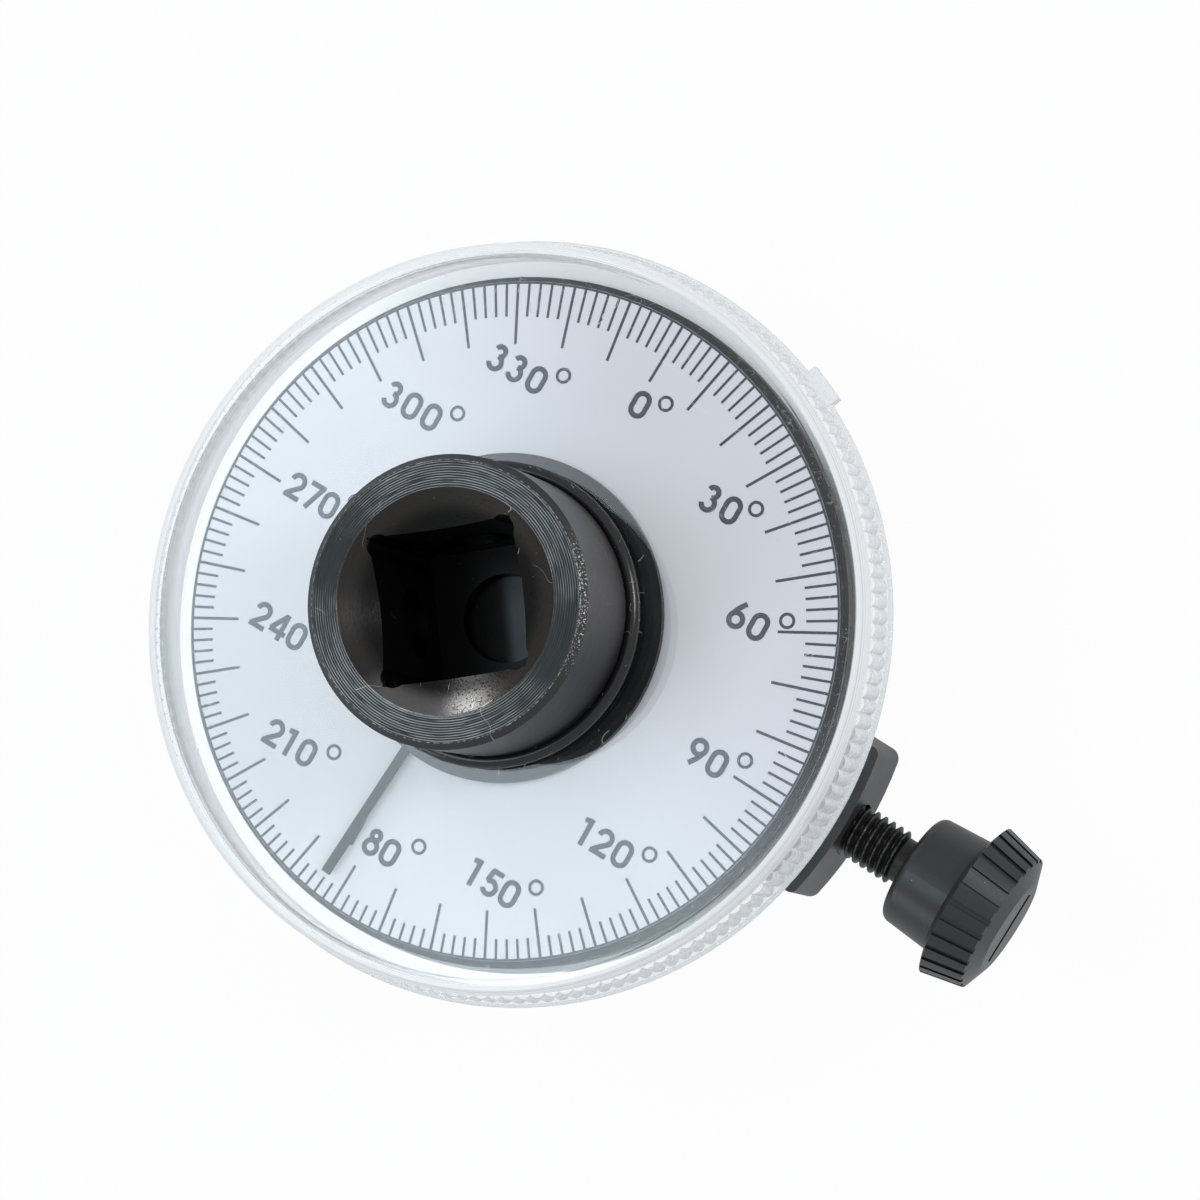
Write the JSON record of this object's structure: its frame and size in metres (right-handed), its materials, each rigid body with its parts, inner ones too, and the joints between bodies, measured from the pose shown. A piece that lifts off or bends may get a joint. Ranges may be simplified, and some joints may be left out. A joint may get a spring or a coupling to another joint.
{
  "type": "torque angle gauge",
  "caption": "Half-inch drive torque angle gauge: a square drive turns a pointer under a clear, ridged dial cover; a clamp lug with a thumbscrew holds a stop rod.",
  "frame": {"origin": "on the drive axis, at the shoulder where the male square starts", "axes": "+Z along the drive axis towards the square socket; +X normal to a flat of both squares"},
  "size_m": [0.0773, 0.0711, 0.0479],
  "materials": {
    "black_steel": "black oxide on turned steel",
    "bright_steel": "zinc plated",
    "stud_steel": "black oxide on a rolled thread",
    "spring_steel": "phosphated",
    "pointer_steel": "plain strip",
    "black_plastic": "moulded",
    "disc_plastic": "moulded",
    "knob_plastic": "satin",
    "washer_plastic": "moulded",
    "bush_plastic": "moulded",
    "clear_plastic": "polished clear moulding",
    "dial_white": "printed",
    "rubber": "moulded",
    "felt": "pressed felt",
    "brass": "turned"
  },
  "bodies": {
    "housing": {"housing": "black_plastic", "drive_bush": "bush_plastic", "rear_washer": "washer_plastic", "front_washer": "washer_plastic", "friction_ring": "felt", "carrier_clip": "spring_steel", "clamp_nut": "bright_steel"},
    "drive": {"drive_body": "black_steel", "detent_spring": "bright_steel", "retaining_ring": "spring_steel", "pointer_disc": "disc_plastic", "pointer": "pointer_steel", "seal_ring": "rubber"},
    "detent": {"detent_ball": "bright_steel"},
    "dial": {"dial_cover": "clear_plastic", "dial_plate": "dial_white", "dial_carrier": "black_plastic"},
    "pad": {"clamp_pad": "brass"},
    "knob": {"clamp_knob": "knob_plastic", "clamp_stud": "stud_steel"}
  },
  "joints": [
    {"name": "drive_turn", "type": "hinge", "parent": "housing", "child": "drive", "pos_m": [0, 0, 0], "axis": [0, 0, 1], "continuous": true},
    {"name": "detent_press", "type": "slide", "parent": "drive", "child": "detent", "axis": [-1, 0, 0], "range_m": [0, 0.001], "stiffness_N_per_m": 1500, "springref_m": -0.001},
    {"name": "dial_turn", "type": "hinge", "parent": "housing", "child": "dial", "pos_m": [0, 0, 0], "axis": [0, 0, 1], "continuous": true},
    {"name": "screw_feed", "type": "slide", "parent": "housing", "child": "pad", "axis": [0.7749, -0.632, 0], "range_m": [-0.003, 0.001]},
    {"name": "knob_turn", "type": "hinge", "parent": "pad", "child": "knob", "pos_m": [0.031, -0.02528, 0.00725], "axis": [0.7749, -0.632, 0], "range_deg": [-1351, 451]}
  ],
  "couplings": [
    {"joint": "knob_turn", "follows": "screw_feed", "rad_per_m": 7854}
  ]
}
